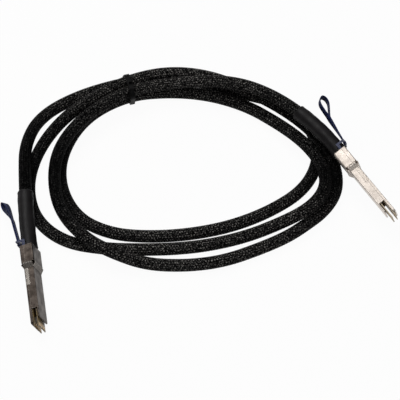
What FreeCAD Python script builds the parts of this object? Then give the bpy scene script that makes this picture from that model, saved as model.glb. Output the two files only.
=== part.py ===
# Direct attach copper cable: a braided cable wound by hand into a loose coil, with the same two-card
# pluggable plug at each end. Millimetres, +Z up, the coil lying on the plane Z = 0.
# Each plug is modelled in its own frame: +X towards the nose, +Y across the width, +Z towards the face
# that carries the pull tab, with its origin at the middle of the backshell's rear face.
import FreeCAD, Part
import math
import os

from FreeCAD import Matrix, Placement, Vector

# ---- cable ----
CABLE_DIAMETER = 13.0
BEND_SHARE = 0.45  # each bend starts this share of the shorter run before its corner
SHRINK_LENGTH = 65.5
SHRINK_WALL = 1.4
SHRINK_LIP_LENGTH = 2.0
SHRINK_LIP_RISE = 0.35

# ---- die-cast shells ----
SHELL_WIDTH = 24.4
SHELL_HEIGHT = 13.8
SHELL_LENGTH = 19.5
SHELL_WALL = 1.6
REAR_WALL = 2.0
NOSE_WIDTH = 21.4
NOSE_HEIGHT = 10.0
NOSE_PLATE = 1.2
SIDE_WALL_END = 70.5
LOWER_SHELL_END = 81.5
UPPER_SHELL_END = 86.5
SPLIT_HEIGHT = 2.4
SHELL_EDGE_RADIUS = 1.2
NOSE_EDGE_RADIUS = 0.5
TONGUE_CORNER = 1.5
CAVITY_SIDE = 9.6
CAVITY_HEIGHT = 10.6
NECK_LENGTH = 8.0
NECK_WALL = 0.9
BORE_FLARE = 0.4
FERRULE_WALL = 1.0
NECK_DIAMETER = CABLE_DIAMETER - 2 * FERRULE_WALL
NECK_BORE = NECK_DIAMETER - 2 * NECK_WALL

# ---- cards and what is on them ----
CARD_WIDTH = 18.0
CARD_THICKNESS = 1.0
CARD_START = 30.0
CARD_END = 90.0
CARD_OFFSET = 0.1  # the pair of cards sits this far towards the tab side
CARD_SIDE_GAP = 0.2
CARD_NOTCH_WIDTH = 1.4
CARD_NOTCH_DEPTH = 3.0
CARD_NOTCH_OFFSET = 2.2
CARD_BEVEL = 0.3
SPACER_START = 40.0
SPACER_END = 64.0
SPACER_WEB = 0.25  # the floor under its pockets, as a share of its height
RIB_START = 48.0
RIB_LENGTH = 6.0
RIB_WIDTH = 1.6
RIB_SPACING = 3.0
RIB_SIDE_GAP = 0.4
RIB_ROOT = 0.2
POCKET_MARGIN = 2.0
POCKET_WIDTH = 6.0
WIRES_PER_FACE = 6
WIRES_ACROSS_BORE = 9.2
WIRE_DIAMETER = NECK_BORE / WIRES_ACROSS_BORE
WIRE_LAY_GAP = 0.05
WIRE_PITCH_ON_CARD = 2.5
WIRE_LANDING = 2.0
WIRE_SOLDER_GAP = 0.09
WIRE_CEILING_GAP = 0.06
CARD_HALF_SPACING = (NOSE_HEIGHT / 2 - NOSE_PLATE - WIRE_CEILING_GAP - WIRE_DIAMETER - WIRE_SOLDER_GAP
                     - CARD_THICKNESS / 2 - CARD_OFFSET)
UPPER_CARD_HEIGHT = CARD_OFFSET + CARD_HALF_SPACING
LOWER_CARD_HEIGHT = CARD_OFFSET - CARD_HALF_SPACING

# ---- fasteners, ferrule and screening collar ----
SCREW_X = 5.6
SCREW_SPACING = 13.2
SCREW_DIAMETER = 1.6
SCREW_HEAD_DIAMETER = 2.9
SCREW_LENGTH = 10.5
SOCKET_DIAMETER = 1.1
SOCKET_DEPTH = 0.52
BOSS_DIAMETER = 3.2
FERRULE_GROOVES = 2
FERRULE_GROOVE_DEPTH = 0.4
COLLAR_THICKNESS = 0.25
COLLAR_RISE = 2.6
COLLAR_BAND = 1.4
COLLAR_REACH = 6.0
COLLAR_PEAK = 1.5
COLLAR_CREST = 0.5
COLLAR_TAIL = 0.3
COLLAR_TAIL_SHARE = 0.6
FINGER_PITCH = 2.35
FINGER_GAP = 0.45

# ---- latch and pull tab ----
ARM_THICKNESS = 0.7
ARM_HEIGHT = 3.0
ARM_CLEARANCE = 0.12
ARM_INSET = 0.05
ARM_START = -7.7
ARM_END = 44.0
RISER_LENGTH = 2.4
HEAD_LENGTH = 3.5
HEAD_HEIGHT = 3.9
HEAD_CHAMFER = 1.0
LATCH_TRAVEL = 2.2
BAR_DIAMETER = 1.6
BAR_HEIGHT = 10.0
LUG_THICKNESS = 0.8
LUG_DEPTH = 1.9
LUG_HEIGHT = 2.4
SPRING_WIDTH = 1.3
SPRING_SIDE_GAP = 0.1
SPRING_THICKNESS = 0.3
SPRING_FOLDS = 7
TAB_WIDTH = 8.0
TAB_THICKNESS = 0.8
TAB_LENGTH = 57.5
LOOP_LENGTH = 26.0
LOOP_SHAPE = ((0.32, 0.56), (0.68, 1.0), (0.92, 0.68))  # shares of the loop's length and half width
LOOP_CROTCH = 0.14  # where the plies part, as a share of the loop's length
TAB_BAR_GAP = 0.1

# ---- cable tie ----
TIE_AT = (-78.0, 162.0, 14.0)
TIE_HEADING = 15.0
TIE_REACH = 30.0
TIE_WIDTH = 5.0
TIE_THICKNESS = 1.3
TIE_GAP = 0.6
TIE_HEAD = (5.0, 6.0, 4.5)
TIE_TAIL_WIDTH = 3.5
TIE_TAIL_HEIGHT = 7.2
TIE_TAIL_AT = 1.0

# Where each plug lies: the middle of its rear face, the way its nose heads in plan, how far the nose
# dips and how far it has rolled from standing on its narrow side (degrees). The pull tab is on the
# plug's left side (-1) or right side (+1), seen from behind.
PLUGS = {
    "left": {"rear": (-170.2, -39.5, 16.3), "heading": -81.0, "dip": 3.0, "roll": 18.0, "tab_side": -1,
             "tab_lean": 1.0, "tab_bend": 13.0, "loop_width": 8.6},
    "right": {"rear": (144.5, 65.3, 33.0), "heading": -54.5, "dip": 6.0, "roll": 20.0, "tab_side": 1,
              "tab_lean": 7.0, "tab_bend": 13.0, "loop_width": 9.8},
}
FIRST_RUN = 24.0  # the cable leaves each plug straight for this far

# The cable's own way from the left plug to the right one, clockwise seen from above. The strands that
# ride over others stand a cable's diameter higher.
LAID_ROUTE = [
    # up the left side and along the outer row of the bundle
    (-178, 42, 22), (-182, 89, 15), (-168, 128, 8), (-132, 157, 6.5), (-81, 174, 8.9), (-37, 181, 6.5),
    (5, 177, 6.5), (46, 161, 6.5), (82, 151, 6.5), (108, 131, 6.5), (123, 100, 6.5), (122, 67, 6.5),
    (105, 36, 6.5),
    # back along the innermost strand
    (72, 12, 6.5), (33, -6, 6.5), (-10, -16, 6.5), (-53, -19, 6.5), (-90, -13, 6.5), (-123, 7, 6.5),
    (-143, 43, 6.5), (-142, 83, 6.5), (-119, 125, 6.5),
    # second turn: the bundle's inner row, over the first turn at the right, then the middle strand
    (-78, 157, 8.9), (-34, 164, 6.5), (9, 160, 6.5), (50, 145, 6.5), (81, 119, 12), (103, 92, 20),
    (118, 71, 20.5), (125.5, 54.5, 20.5), (126, 35.5, 20.5), (119, 18, 19.5), (105, 5.5, 16.5), (79, -4, 11),
    (46, -16, 6.5), (10, -27, 6.5), (-24, -32, 6.5), (-60, -34, 6.5), (-97, -32, 6.5), (-136, -22, 6.5),
    (-164, 4, 6.5), (-176, 43, 6.5), (-169, 83, 6.5), (-144, 121, 12),
    # third turn: on top of the outer row, down the right side and along the outermost strand
    (-112, 147, 20), (-77, 168, 20.6), (-36, 178, 20), (6, 173, 20), (46, 156, 20), (83, 135, 20),
    (111, 110, 20), (127, 88, 20), (138, 69, 14.5), (143.5, 51, 7.5), (143.5, 31, 6.5), (134.5, 13, 6.5),
    (119, -1.5, 6.5), (95, -15.5, 6.5), (62, -30.5, 6.5), (24, -45, 6.5), (-14, -53, 6.5),
    (-54, -51, 8), (-86, -43, 18),
    # last half turn: on top of the innermost strand, then over everything to the right plug
    (-113, -26, 22), (-139, 6, 20), (-150, 44, 20), (-145, 83, 20), (-120, 119, 20), (-78, 152, 21.6),
    (-38, 162, 20), (-4, 160, 26), (27, 158, 33), (58, 148, 35), (92, 126, 36),
]


# ---- small helpers ----
def box(x0, x1, y0, y1, z0, z1):
    """Box between two corners."""
    return Part.makeBox(x1 - x0, y1 - y0, z1 - z0, Vector(x0, y0, z0))


def slab(x0, x1, half_width, z0, z1):
    """Box that spans the plug's width evenly."""
    return box(x0, x1, -half_width, half_width, z0, z1)


def cylinder(radius, start, length, axis):
    """Cylinder from a start point along an axis."""
    return Part.makeCylinder(radius, length, Vector(*start), Vector(*axis))


def prism(points, along):
    """Solid from a closed outline of points, pushed along a vector."""
    outline = [Vector(*point) for point in points]
    return Part.Face(Part.makePolygon(outline + outline[:1])).extrude(Vector(*along))


def fused(shapes):
    """One shape from several that touch, with the seams removed."""
    return shapes[0].fuse(shapes[1:]).removeSplitter()


def rounded(shape, radius, wanted):
    """Fillet the edges that the test picks."""
    return shape.makeFillet(radius, [edge for edge in shape.Edges if wanted(edge)])


def runs_along_x(edge):
    """True for a straight edge parallel to X."""
    return isinstance(edge.Curve, Part.Line) and abs(edge.tangentAt(edge.FirstParameter).x) > 0.999


def plug_axes(plug):
    """The plug's three axes in the object's frame: nose, width and tab side."""
    heading, dip, roll = (math.radians(plug[key]) for key in ("heading", "dip", "roll"))
    nose = Vector(math.cos(heading) * math.cos(dip), math.sin(heading) * math.cos(dip), -math.sin(dip))
    side = Vector(-math.sin(heading), math.cos(heading), 0)
    above = nose.cross(side)
    tab = (side * math.cos(roll) + above * math.sin(roll)) * plug["tab_side"]
    return nose, tab.cross(nose), tab


def plug_placement(plug):
    """Where the plug's own frame lies."""
    x, y, z = plug_axes(plug)
    at = plug["rear"]
    return Placement(Matrix(x.x, y.x, z.x, at[0], x.y, y.y, z.y, at[1], x.z, y.z, z.z, at[2], 0, 0, 0, 1))


# ---- cable ----
def cable_route():
    """Every point of the cable's route, with the straight run into each plug."""
    ends = {}
    for side, plug in PLUGS.items():
        nose = plug_axes(plug)[0]
        exit_point = Vector(*plug["rear"]) - nose * NECK_LENGTH
        ends[side] = (exit_point, exit_point - nose * FIRST_RUN)
    laid = [Vector(*point) for point in LAID_ROUTE]
    return [ends["left"][0], ends["left"][1], *laid, ends["right"][1], ends["right"][0]]


def bend(before, corner, after):
    """Start, middle and end of the arc at a corner, and its radius."""
    back, ahead = before - corner, after - corner
    shorter = min(back.Length, ahead.Length)
    back.normalize()
    ahead.normalize()
    half_turn = (math.pi - back.getAngle(ahead)) / 2
    reach = BEND_SHARE * shorter
    radius = reach / math.tan(half_turn)
    inward = (back + ahead).normalize()
    middle = corner + inward * (radius / math.cos(half_turn) - radius)
    return corner + back * reach, middle, corner + ahead * reach, radius


def route_wire(points):
    """Straight runs joined by tangent arcs, and the arcs' radii."""
    edges, radii, last = [], [], points[0]
    for before, corner, after in zip(points, points[1:], points[2:]):
        start, middle, end, radius = bend(before, corner, after)
        edges.append(Part.LineSegment(last, start).toShape())
        edges.append(Part.Arc(start, middle, end).toShape())
        radii.append(radius)
        last = end
    edges.append(Part.LineSegment(last, points[-1]).toShape())
    return Part.Wire(edges), radii


def ring_at(point, direction, radius):
    """Round section wire."""
    return Part.Wire(Part.makeCircle(radius, point, direction))


def tube(wire, radius):
    """Round solid swept along a wire."""
    first = wire.OrderedEdges[0]
    start = first.valueAt(first.FirstParameter)
    direction = first.tangentAt(first.FirstParameter)
    return wire.makePipeShell([ring_at(start, direction, radius)], True, True)


def braided_cable():
    """The whole jacketed cable, from one plug's neck to the other's."""
    wire, radii = route_wire(cable_route())
    solid = tube(wire, CABLE_DIAMETER / 2)
    expected = math.pi * CABLE_DIAMETER**2 / 4 * wire.Length
    print(f"cable length {wire.Length:.0f} mm, volume over section x length {solid.Volume / expected:.4f}")
    print("bend radii mm:", " ".join(f"{radius:.0f}" for radius in radii))
    return solid


def shrink_path(plug, points):
    """The sleeve's centre line: from the plug's rear face along the cable's own way."""
    edges, rest = [], SHRINK_LENGTH - NECK_LENGTH
    for edge in route_wire(points)[0].OrderedEdges:
        stop = edge.getParameterByLength(min(rest, edge.Length))
        edges.append(edge.Curve.toShape(edge.FirstParameter, stop))
        rest -= edge.Length
        if rest <= 0:
            break
    edges[0] = Part.LineSegment(Vector(*plug["rear"]), edges[0].valueAt(edges[0].LastParameter)).toShape()
    last = edges[-1]
    return Part.Wire(edges), last.valueAt(last.LastParameter), last.tangentAt(last.LastParameter)


def heat_shrink(plug, points):
    """Shrunk sleeve over the ferrule and the first stretch of cable, with a rolled lip at its end."""
    path, far_end, onward = shrink_path(plug, points)
    radius = CABLE_DIAMETER / 2 + SHRINK_WALL
    lip = Part.makeCylinder(radius + SHRINK_LIP_RISE, SHRINK_LIP_LENGTH,
                            far_end - onward * SHRINK_LIP_LENGTH, onward)
    return tube(path, radius).fuse(lip).cut(tube(path, CABLE_DIAMETER / 2)).removeSplitter()


def cable_tie():
    """Nylon tie drawn round the four strands of the bundle, with its head and cut tail on top."""
    heading = math.radians(TIE_HEADING)
    along = Vector(math.cos(heading), math.sin(heading), 0)
    across = Vector(-along.y, along.x, 0)
    centre = Vector(*TIE_AT)
    window = Part.makePolygon([
        centre + across * i + Vector(0, 0, k)
        for i, k in ((-TIE_REACH, -TIE_REACH), (TIE_REACH, -TIE_REACH), (TIE_REACH, TIE_REACH),
                     (-TIE_REACH, TIE_REACH), (-TIE_REACH, -TIE_REACH))
    ])
    wire, _ = route_wire(cable_route())
    strands = [vertex.Point for vertex in wire.section(Part.Face(window)).Vertexes]
    middle = sum(strands, Vector()) * (1 / len(strands))
    strands.sort(key=lambda point: math.atan2(point.z - middle.z, (point - middle).dot(across)))
    loop = Part.makePolygon(strands + strands[:1])
    inner = loop.makeOffset2D(CABLE_DIAMETER / 2 + TIE_GAP)
    outer = loop.makeOffset2D(CABLE_DIAMETER / 2 + TIE_GAP + TIE_THICKNESS)
    half = along * (TIE_WIDTH / 2)
    band = Part.Face(outer).extrude(half * 2).cut(Part.Face(inner).extrude(half * 2))
    top = outer.BoundBox.ZMax
    length, width, height = TIE_HEAD
    head = Part.makeBox(length, width, height, Vector(0, -width / 2, -TIE_THICKNESS / 2))
    tail = Part.makeBox(TIE_TAIL_WIDTH, TIE_THICKNESS, TIE_TAIL_HEIGHT, Vector(TIE_TAIL_AT, width / 2, 0))
    buckle = head.fuse(tail)
    highest = max(strands, key=lambda point: point.z)
    buckle.Placement = Placement(
        Matrix(along.x, across.x, 0, highest.x, along.y, across.y, 0, highest.y, 0, 0, 1, top, 0, 0, 0, 1))
    return band.fuse(buckle).removeSplitter()


# ---- the plug's shells ----
ARM_OUTER = NOSE_WIDTH / 2 - ARM_INSET
ARM_INNER = ARM_OUTER - ARM_THICKNESS
CAVITY_END = SHELL_LENGTH - SHELL_WALL
NOSE_CAVITY_SIDE = CARD_WIDTH / 2 + CARD_SIDE_GAP
NOSE_CAVITY_HEIGHT = NOSE_HEIGHT - 2 * NOSE_PLATE


def plug_body():
    """Outer form of the two shells together: backshell and nose."""
    backshell = slab(0, SHELL_LENGTH, SHELL_WIDTH / 2, -SHELL_HEIGHT / 2, SHELL_HEIGHT / 2)
    backshell = rounded(backshell, SHELL_EDGE_RADIUS, runs_along_x)
    nose = slab(CAVITY_END, UPPER_SHELL_END, NOSE_WIDTH / 2, -NOSE_HEIGHT / 2, NOSE_HEIGHT / 2)
    return backshell.fuse(rounded(nose, NOSE_EDGE_RADIUS, runs_along_x))


def plug_hollow():
    """What is cut out of both shells: the two cavities, the cable's bore and the latch arms' channels."""
    reach = ARM_HEIGHT / 2 + ARM_CLEARANCE
    head_reach = HEAD_HEIGHT / 2 + ARM_CLEARANCE
    stop = ARM_END + ARM_CLEARANCE
    head_start = ARM_END - HEAD_LENGTH - LATCH_TRAVEL - ARM_CLEARANCE
    low, high = ARM_INNER - ARM_CLEARANCE, ARM_OUTER + ARM_CLEARANCE
    cuts = [
        slab(REAR_WALL, CAVITY_END, CAVITY_SIDE, -CAVITY_HEIGHT / 2, CAVITY_HEIGHT / 2),
        slab(CAVITY_END - 1, CARD_END, NOSE_CAVITY_SIDE, -NOSE_CAVITY_HEIGHT / 2, NOSE_CAVITY_HEIGHT / 2),
        Part.makeCone(NECK_BORE / 2, NECK_BORE / 2 + BORE_FLARE, NECK_LENGTH + REAR_WALL + 1,
                      Vector(-NECK_LENGTH, 0, 0), Vector(1, 0, 0)),
    ]
    for side in (-1, 1):
        for x0, x1, y0, y1, half in (
            (-1, SHELL_LENGTH, low, high, reach),
            (REAR_WALL, CAVITY_END, CAVITY_SIDE - 1, high, reach),
            (SHELL_LENGTH, stop, low, NOSE_WIDTH, reach),
            (head_start, stop, low, NOSE_WIDTH, head_reach),
        ):
            ends = sorted((side * y0, side * y1))
            cuts.append(box(x0, x1, *ends, SPLIT_HEIGHT - half, SPLIT_HEIGHT + half))
    return cuts[0].fuse(cuts[1:])


def card_ribs(face, ceiling):
    """Four ribs that hold a card against the spacer."""
    low, high = sorted((face, ceiling))
    outer = NOSE_CAVITY_SIDE - RIB_SIDE_GAP
    return [
        box(x, x + RIB_LENGTH, *sorted((side * (outer - RIB_WIDTH), side * outer)),
            low, high)
        for x in (RIB_START, RIB_START + RIB_LENGTH + RIB_SPACING)
        for side in (-1, 1)
    ]


def screw_places():
    """Middle of each screw, in plan."""
    return [(SCREW_X, side * SCREW_SPACING / 2) for side in (-1, 1)]


def bosses(low, high):
    """Screw bosses between two heights."""
    return [cylinder(BOSS_DIAMETER / 2, (x, y, low), high - low, (0, 0, 1)) for x, y in screw_places()]


def tongue_corners(end, low, high):
    """The two corners taken off a shell's front edge."""
    half = NOSE_WIDTH / 2
    return [
        prism([(end, side * half, low), (end - TONGUE_CORNER, side * half, low),
               (end, side * (half - TONGUE_CORNER), low)], (0, 0, high - low))
        for side in (-1, 1)
    ]


def upper_shell():
    """The tab side's die-casting: a lid with rails down both sides, running on over the cards."""
    top = SHELL_HEIGHT / 2 + 1
    keep = box(-1, UPPER_SHELL_END + 1, -SHELL_WIDTH, SHELL_WIDTH, SPLIT_HEIGHT, top)
    shell = plug_body().cut(plug_hollow()).common(keep)
    card_face = UPPER_CARD_HEIGHT + CARD_THICKNESS / 2
    shell = shell.fuse(card_ribs(card_face, NOSE_CAVITY_HEIGHT / 2 + RIB_ROOT) + bosses(SPLIT_HEIGHT, CAVITY_HEIGHT / 2))
    sink = (SCREW_HEAD_DIAMETER - SCREW_DIAMETER) / 2
    for x, y in screw_places():
        shell = shell.cut(cylinder(SCREW_DIAMETER / 2 + ARM_CLEARANCE, (x, y, 0), top, (0, 0, 1)))
        shell = shell.cut(Part.makeCone(SCREW_DIAMETER / 2, SCREW_HEAD_DIAMETER / 2, sink,
                                        Vector(x, y, SHELL_HEIGHT / 2 - sink)))
    return shell.cut(tongue_corners(UPPER_SHELL_END, 0, top)).removeSplitter()


def lower_shell():
    """The other die-casting: a trough with full side walls, a short tongue and the cable's neck."""
    bottom = -SHELL_HEIGHT / 2 - 1
    keep = box(-1, SIDE_WALL_END, -SHELL_WIDTH, SHELL_WIDTH, bottom, SPLIT_HEIGHT).fuse(
        box(-1, LOWER_SHELL_END, -SHELL_WIDTH, SHELL_WIDTH, bottom, -NOSE_CAVITY_HEIGHT / 2))
    neck = cylinder(NECK_DIAMETER / 2, (-NECK_LENGTH, 0, 0), NECK_LENGTH, (1, 0, 0))
    shell = plug_body().common(keep).fuse(neck).cut(plug_hollow())
    card_face = LOWER_CARD_HEIGHT - CARD_THICKNESS / 2
    shell = shell.fuse(card_ribs(card_face, -NOSE_CAVITY_HEIGHT / 2 - RIB_ROOT) + bosses(-CAVITY_HEIGHT / 2, SPLIT_HEIGHT))
    for x, y in screw_places():
        depth = SCREW_LENGTH - SHELL_HEIGHT / 2
        shell = shell.cut(cylinder(SCREW_DIAMETER / 2, (x, y, -depth), depth + SHELL_HEIGHT, (0, 0, 1)))
    return shell.cut(tongue_corners(LOWER_SHELL_END, bottom, 0)).removeSplitter()


def shell_screws():
    """Countersunk screws that draw the two shells together."""
    sink = (SCREW_HEAD_DIAMETER - SCREW_DIAMETER) / 2
    top = SHELL_HEIGHT / 2
    screws = []
    for x, y in screw_places():
        shank = cylinder(SCREW_DIAMETER / 2, (x, y, top - SCREW_LENGTH), SCREW_LENGTH, (0, 0, 1))
        head = Part.makeCone(SCREW_DIAMETER / 2, SCREW_HEAD_DIAMETER / 2, sink, Vector(x, y, top - sink))
        socket = cylinder(SOCKET_DIAMETER / 2, (x, y, top - SOCKET_DEPTH), SOCKET_DEPTH, (0, 0, 1))
        screws.append(shank.fuse(head).cut(socket))
    return Part.makeCompound(screws)


# ---- cards, wires and ferrule ----
def paddle_card(height, notch_side):
    """Edge card with bevelled front edges and one keying notch."""
    low, high = height - CARD_THICKNESS / 2, height + CARD_THICKNESS / 2
    profile = [
        (CARD_START, low), (CARD_END - 2 * CARD_BEVEL, low), (CARD_END, low + CARD_BEVEL),
        (CARD_END, high - CARD_BEVEL), (CARD_END - 2 * CARD_BEVEL, high), (CARD_START, high),
    ]
    card = prism([(x, -CARD_WIDTH / 2, z) for x, z in profile], (0, CARD_WIDTH, 0))
    y = notch_side * CARD_NOTCH_OFFSET - CARD_NOTCH_WIDTH / 2
    return card.cut(box(CARD_END - CARD_NOTCH_DEPTH, CARD_END + 1, y, y + CARD_NOTCH_WIDTH, low - 1, high + 1))


def card_spacer():
    """Moulded block that sets the distance between the cards, with two lightening pockets."""
    low = LOWER_CARD_HEIGHT + CARD_THICKNESS / 2
    high = UPPER_CARD_HEIGHT - CARD_THICKNESS / 2
    block = slab(SPACER_START, SPACER_END, CARD_WIDTH / 2, low, high)
    floor = low + (high - low) * SPACER_WEB
    middles = (-CARD_WIDTH / 4, CARD_WIDTH / 4)
    return block.cut([
        box(SPACER_START + POCKET_MARGIN, SPACER_END - POCKET_MARGIN, y - POCKET_WIDTH / 2, y + POCKET_WIDTH / 2, floor, high)
        for y in middles
    ])


def twinax_pairs():
    """The shielded pairs, fanned out from the cable's end to both faces of both cards."""
    reach = CARD_THICKNESS / 2 + WIRE_DIAMETER / 2 + WIRE_SOLDER_GAP
    lay = WIRE_DIAMETER + WIRE_LAY_GAP
    landings = [height + face * reach for height in (UPPER_CARD_HEIGHT, LOWER_CARD_HEIGHT) for face in (1, -1)]
    wires = []
    for row, landing in enumerate(landings):
        for column in range(WIRES_PER_FACE):
            step = column - (WIRES_PER_FACE - 1) / 2
            start = Vector(-NECK_LENGTH, step * lay, (1.5 - row) * lay)
            end = Vector(CARD_START + WIRE_LANDING, step * WIRE_PITCH_ON_CARD, landing)
            wires.append(Part.makeCylinder(WIRE_DIAMETER / 2, (end - start).Length, start, end - start))
    trim = slab(-NECK_LENGTH, CARD_END, SHELL_WIDTH, -SHELL_HEIGHT, SHELL_HEIGHT)
    return Part.makeCompound([wire.common(trim) for wire in wires])


def crimp_ferrule():
    """Ring crimped over the neck, that clamps the cable's screen."""
    length = NECK_LENGTH
    outer = CABLE_DIAMETER / 2
    ring = cylinder(outer, (-length, 0, 0), length, (1, 0, 0))
    ring = ring.cut(cylinder(NECK_DIAMETER / 2, (-length - 1, 0, 0), length + 2, (1, 0, 0)))
    groove_width = length / (2 * FERRULE_GROOVES + 1)
    for index in range(FERRULE_GROOVES):
        x = -length + groove_width * (2 * index + 1)
        groove = cylinder(outer + 1, (x, 0, 0), groove_width, (1, 0, 0)).cut(
            cylinder(outer - FERRULE_GROOVE_DEPTH, (x, 0, 0), groove_width, (1, 0, 0)))
        ring = ring.cut(groove)
    return ring


# ---- screening collar ----
def collar_finger(length):
    """One sprung finger, standing on the plane z = 0 with its root forward, pushed along +y."""
    front = SHELL_LENGTH + COLLAR_REACH
    skin = COLLAR_THICKNESS
    peak = SHELL_LENGTH + COLLAR_PEAK
    tail = SHELL_LENGTH + COLLAR_TAIL
    foot = COLLAR_RISE * COLLAR_TAIL_SHARE
    profile = [
        (front, 0), (front, skin), (peak + COLLAR_CREST, COLLAR_RISE), (peak - COLLAR_CREST, COLLAR_RISE), (tail, foot),
        (tail + skin, foot - skin), (peak, COLLAR_RISE - skin), (peak + COLLAR_CREST, COLLAR_RISE - skin),
        (front - COLLAR_BAND - COLLAR_CREST, skin), (front - COLLAR_BAND, 0),
    ]
    return prism([(x, 0, z) for x, z in profile], (0, length, 0))


def emi_gasket():
    """Sheet collar round the nose's root, with a row of sprung fingers on each side."""
    front = SHELL_LENGTH + COLLAR_REACH
    half_width, half_height = NOSE_WIDTH / 2, NOSE_HEIGHT / 2
    band = slab(front - COLLAR_BAND, front, half_width + COLLAR_THICKNESS,
                -half_height - COLLAR_THICKNESS, half_height + COLLAR_THICKNESS)
    pieces = [band.cut(slab(front - COLLAR_BAND - 1, front + 1, half_width, -half_height, half_height))]
    for turn, (across, rise) in enumerate(((half_width, half_height), (half_height, half_width)) * 2):
        count = int(2 * across / FINGER_PITCH)
        pitch = 2 * across / count
        for index in range(count):
            finger = collar_finger(pitch - FINGER_GAP)
            finger.translate(Vector(0, -across + index * pitch + FINGER_GAP / 2, rise))
            finger.rotate(Vector(), Vector(1, 0, 0), 90 * turn)
            pieces.append(finger)
    return fused(pieces)


# ---- latch and pull tab ----
def latch_slide():
    """Pressed steel slide: an arm in each side channel, joined by a bar behind the plug."""
    riser_end = ARM_START + RISER_LENGTH
    low, high = SPLIT_HEIGHT - ARM_HEIGHT / 2, SPLIT_HEIGHT + ARM_HEIGHT / 2
    head_low, head_high = SPLIT_HEIGHT - HEAD_HEIGHT / 2, SPLIT_HEIGHT + HEAD_HEIGHT / 2
    head_start = ARM_END - HEAD_LENGTH
    outline = [
        (ARM_START, low), (head_start, low), (head_start + HEAD_CHAMFER, head_low),
        (ARM_END - HEAD_CHAMFER, head_low), (ARM_END, low), (ARM_END, high),
        (ARM_END - HEAD_CHAMFER, head_high), (head_start + HEAD_CHAMFER, head_high), (head_start, high),
        (riser_end, high), (riser_end, BAR_HEIGHT), (ARM_START, BAR_HEIGHT),
    ]
    pieces = []
    for side in (-1, 1):
        inner = side * ARM_INNER
        pieces.append(prism([(x, inner, z) for x, z in outline], (0, side * ARM_THICKNESS, 0)))
        ends = sorted((inner, side * (ARM_INNER - LUG_DEPTH)))
        pieces.append(box(CAVITY_END - LUG_THICKNESS, CAVITY_END, *ends,
                          SPLIT_HEIGHT - LUG_HEIGHT / 2, SPLIT_HEIGHT + LUG_HEIGHT / 2))
    middle = (ARM_START + riser_end) / 2
    pieces.append(cylinder(BAR_DIAMETER / 2, (middle, -ARM_OUTER, BAR_HEIGHT), 2 * ARM_OUTER, (0, 1, 0)))
    return fused(pieces)


def latch_springs():
    """Folded flat-wire springs that push the slide forward again."""
    start, end = REAR_WALL, CAVITY_END - LUG_THICKNESS
    inner = ARM_INNER - LUG_DEPTH + SPRING_SIDE_GAP
    step = (end - start) / SPRING_FOLDS
    low = SPLIT_HEIGHT - LUG_HEIGHT / 2
    springs = []
    for side in (-1, 1):
        zigzag = [(start + step * fold, side * (inner + (SPRING_WIDTH - SPRING_THICKNESS) * (fold % 2))) for fold in range(SPRING_FOLDS + 1)]
        back = [(x, y + side * SPRING_THICKNESS) for x, y in reversed(zigzag)]
        springs.append(prism([(x, y, low) for x, y in zigzag + back], (0, 0, LUG_HEIGHT)))
    return Part.makeCompound(springs)


def pull_tab(plug):
    """Woven strap looped round the slide's bar, doubled and stitched, opening into a finger loop."""
    neck = TAB_LENGTH - LOOP_LENGTH
    half = plug["loop_width"] / 2
    wrap = BAR_DIAMETER / 2 + TAB_BAR_GAP
    turn = -math.radians(plug["tab_bend"])

    def loop_point(along, aside):
        return Vector(neck + along * math.cos(turn) - aside * math.sin(turn), 0,
                      along * math.sin(turn) + aside * math.cos(turn))

    def teardrop(start, inset):
        length = LOOP_LENGTH - inset
        shoulder = [(along * length, wide * half - inset) for along, wide in LOOP_SHAPE]
        tip = (length, 0)
        points = [start, *shoulder, tip, *[(u, -v) for u, v in reversed(shoulder)], (start[0], -start[1])]
        curve = Part.BSplineCurve()
        curve.interpolate([loop_point(*point) for point in points])
        return curve.toShape()

    outer_curve = teardrop((0, TAB_THICKNESS), 0)
    ends = [vertex.Point for vertex in outer_curve.Vertexes]
    root = [Vector(0, 0, -TAB_THICKNESS), Vector(0, 0, TAB_THICKNESS)]
    outline = Part.Wire([
        Part.LineSegment(root[1], ends[0]).toShape(), outer_curve,
        Part.LineSegment(ends[1], root[0]).toShape(), Part.LineSegment(root[0], root[1]).toShape(),
    ])
    inner_curve = teardrop((LOOP_CROTCH * LOOP_LENGTH, 0), TAB_THICKNESS)
    across = Vector(0, TAB_WIDTH, 0)
    strap = Part.Face(outline).extrude(across).cut(Part.Face(Part.Wire([inner_curve])).extrude(across))
    eye = cylinder(wrap + TAB_THICKNESS, (0, 0, 0), TAB_WIDTH, (0, 1, 0))
    strap = strap.fuse(eye).cut(cylinder(wrap, (0, -1, 0), TAB_WIDTH + 2, (0, 1, 0)))
    strap.rotate(Vector(), Vector(0, 1, 0), 180 + plug["tab_lean"])
    strap.translate(Vector(ARM_START + RISER_LENGTH / 2, -TAB_WIDTH / 2, BAR_HEIGHT))
    return strap.removeSplitter()


# ---- everything, each piece in its own file ----
def plug_pieces(plug):
    """One plug's pieces, in the plug's own frame."""
    return {
        "upper_shell": upper_shell(),
        "lower_shell": lower_shell(),
        "shell_screws": shell_screws(),
        "upper_paddle_card": paddle_card(UPPER_CARD_HEIGHT, 1),
        "lower_paddle_card": paddle_card(LOWER_CARD_HEIGHT, -1),
        "card_spacer": card_spacer(),
        "twinax_pairs": twinax_pairs(),
        "crimp_ferrule": crimp_ferrule(),
        "emi_gasket": emi_gasket(),
        "latch_slide": latch_slide(),
        "latch_springs": latch_springs(),
        "pull_tab": pull_tab(plug),
    }


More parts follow.
